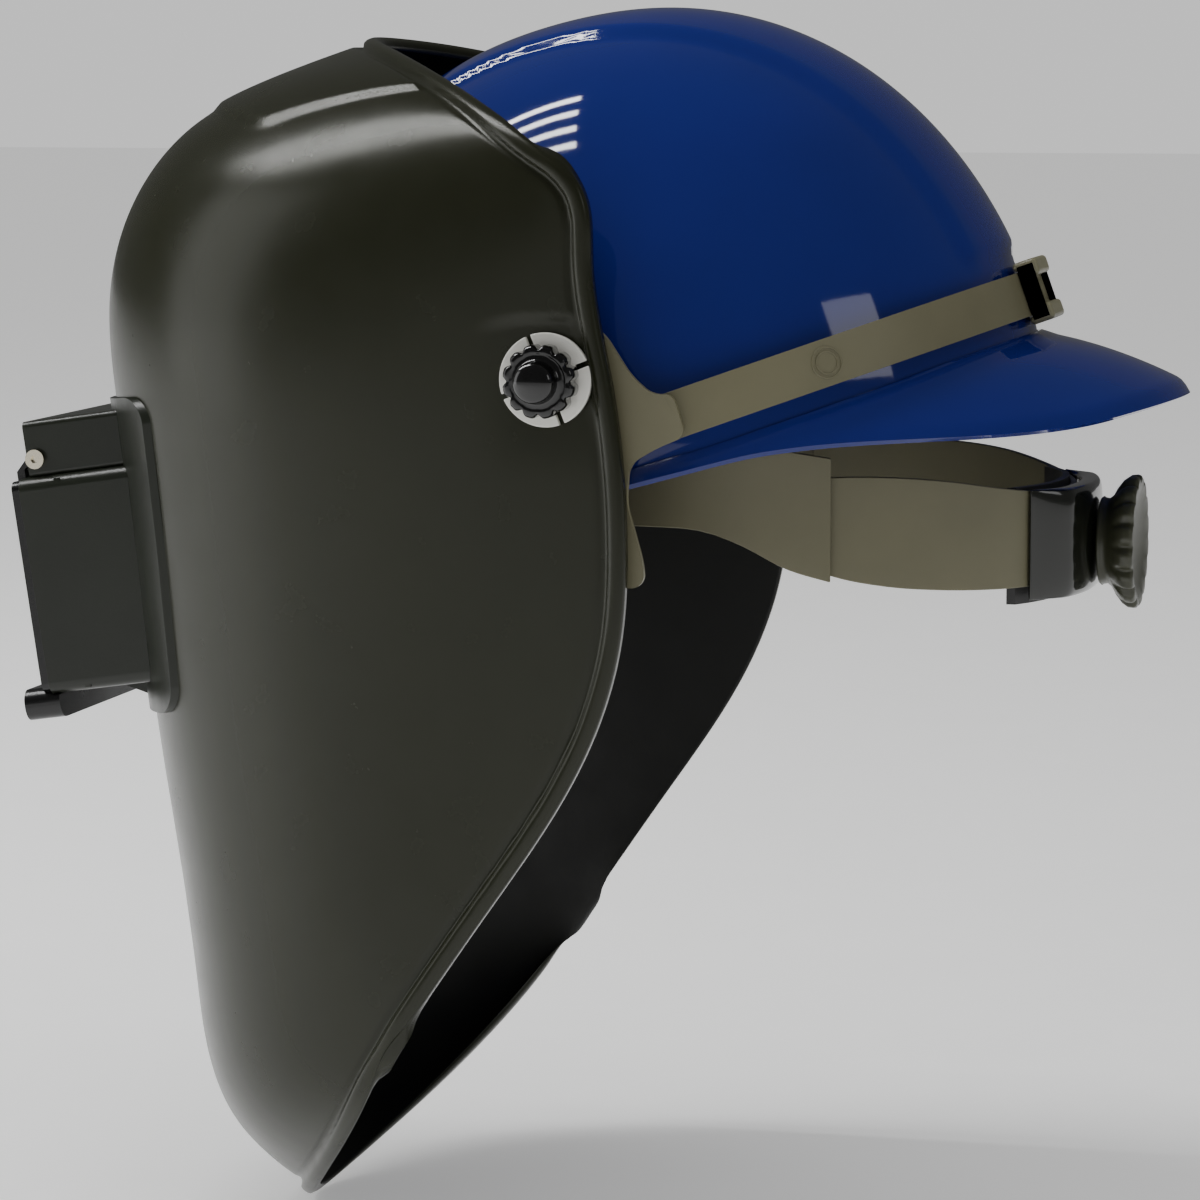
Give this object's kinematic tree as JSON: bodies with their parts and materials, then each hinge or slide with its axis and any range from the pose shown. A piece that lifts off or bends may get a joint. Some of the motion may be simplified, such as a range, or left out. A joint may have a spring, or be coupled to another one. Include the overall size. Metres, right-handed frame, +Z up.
{
  "type": "welding helmet",
  "caption": "Lift-front welding helmet: curved face shield with a box lens housing, tilting on two friction pivots on a hard hat worn peak to the rear, with ratchet headband.",
  "frame": {"origin": "centre of the head ring inside the hat", "axes": "+Z up, the wearer faces -Y, the wearer's left is +X"},
  "size_m": [0.2764, 0.3675, 0.3895],
  "materials": {
    "hat_blue": "high gloss",
    "shield_grey": "semi gloss with a slight metallic sheen",
    "housing_grey": "satin",
    "black_plastic": "satin",
    "olive_plastic": "matt moulded nylon",
    "buckle_plastic": "matt moulded nylon",
    "cover_gloss": "high gloss",
    "knob_olive": "satin",
    "disc_white": "bright gloss",
    "clear_plate": "clear",
    "filter_glass": "dark shade",
    "gasket": "matt",
    "nickel": "nickel plated",
    "spring_steel": "bright",
    "webbing": "woven webbing",
    "sweatband": "soft brow pad",
    "fibre": "vulcanised fibre",
    "key_plastic": "satin"
  },
  "bodies": {
    "hat": {"hat_shell": "hat_blue", "crown_strap_upper": "webbing", "crown_strap_lower": "webbing", "suspension_keys": "key_plastic", "headband": "olive_plastic", "sweatband": "sweatband", "strap_buckle": "buckle_plastic", "shield_adapter_left": "olive_plastic", "shield_adapter_right": "olive_plastic", "pivot_stud_left": "black_plastic", "pivot_stud_right": "black_plastic", "friction_washer_left": "fibre", "friction_washer_right": "fibre"},
    "nape": {"nape_band": "olive_plastic", "ratchet_housing": "key_plastic", "ratchet_cover": "cover_gloss"},
    "ratchet": {"ratchet_knob": "knob_olive", "ratchet_pinion": "key_plastic"},
    "shield": {"shield_shell": "shield_grey", "housing_pad": "housing_grey", "lens_housing": "housing_grey", "clamp_frame": "black_plastic", "clamp_screws": "nickel", "fixed_plate_gasket": "gasket", "fixed_plate": "clear_plate", "plate_spring": "spring_steel", "detent_leaf": "spring_steel", "stop_disc_left": "disc_white", "stop_disc_right": "disc_white", "hinge_screw_left": "nickel", "hinge_screw_right": "nickel"},
    "lift_front": {"lift_frame": "black_plastic", "lift_grip": "black_plastic", "cover_plate": "clear_plate", "filter_gasket": "gasket", "filter_plate": "filter_glass", "filter_clip": "spring_steel"},
    "knob_left": {"tension_knob_left": "black_plastic"},
    "knob_right": {"tension_knob_right": "black_plastic"}
  },
  "joints": [
    {"name": "shield_tilt", "type": "hinge", "parent": "hat", "child": "shield", "pos_m": [0, -0.0415, 0.0397], "axis": [-1, 0, 0], "range_deg": [0, 80]},
    {"name": "lift_hinge", "type": "hinge", "parent": "shield", "child": "lift_front", "pos_m": [0, -0.2245, 0.00721], "axis": [-1, 0, 0], "range_deg": [0, 95]},
    {"name": "nape_adjust", "type": "slide", "parent": "hat", "child": "nape", "axis": [0, -1, 0], "range_m": [0, 0.014]},
    {"name": "ratchet_turn", "type": "hinge", "parent": "nape", "child": "ratchet", "pos_m": [0, 0.098, -0.0165], "axis": [0, 1, 0], "range_deg": [0, 134]},
    {"name": "knob_left_turn", "type": "hinge", "parent": "hat", "child": "knob_left", "pos_m": [0.13, -0.0415, 0.0397], "axis": [1, 0, 0], "range_deg": [-180, 90]},
    {"name": "knob_right_turn", "type": "hinge", "parent": "hat", "child": "knob_right", "pos_m": [-0.13, -0.0415, 0.0397], "axis": [-1, 0, 0], "range_deg": [-180, 90]}
  ],
  "couplings": [
    {"joint": "ratchet_turn", "follows": "nape_adjust", "rad_per_m": 166.67}
  ]
}
